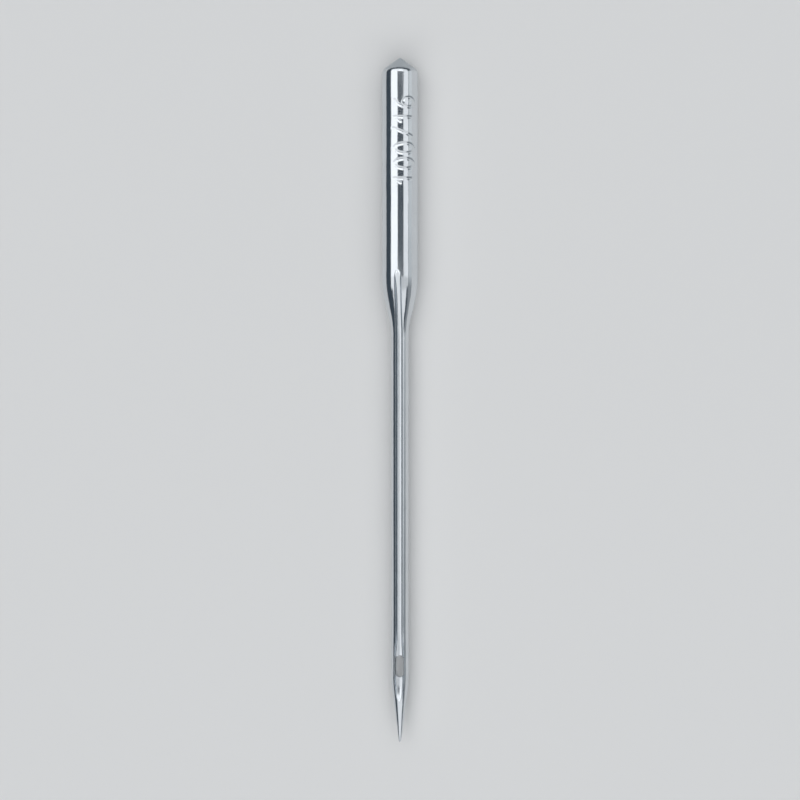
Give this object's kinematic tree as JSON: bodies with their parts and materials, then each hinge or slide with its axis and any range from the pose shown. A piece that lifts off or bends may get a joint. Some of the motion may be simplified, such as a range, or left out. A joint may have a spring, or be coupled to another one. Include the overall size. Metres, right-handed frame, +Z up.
{
  "type": "sewing machine needle",
  "caption": "Sewing machine needle with a flat-backed shank, cone butt, tapered shoulder, long groove, slotted eye, scarf and slim rounded point.",
  "frame": {"origin": "on the surface that the needle lies on, under the middle of its length and width", "axes": "+Y towards the butt and -Y towards the point, +Z up out of the long groove, +X to the right when the butt is at the top and the groove faces the viewer; the flat of the shank is on z = 0"},
  "size_m": [0.002, 0.0386, 0.0018],
  "materials": {
    "plated_steel": "polished"
  },
  "bodies": {
    "root": {"needle": "plated_steel"}
  },
  "joints": []
}
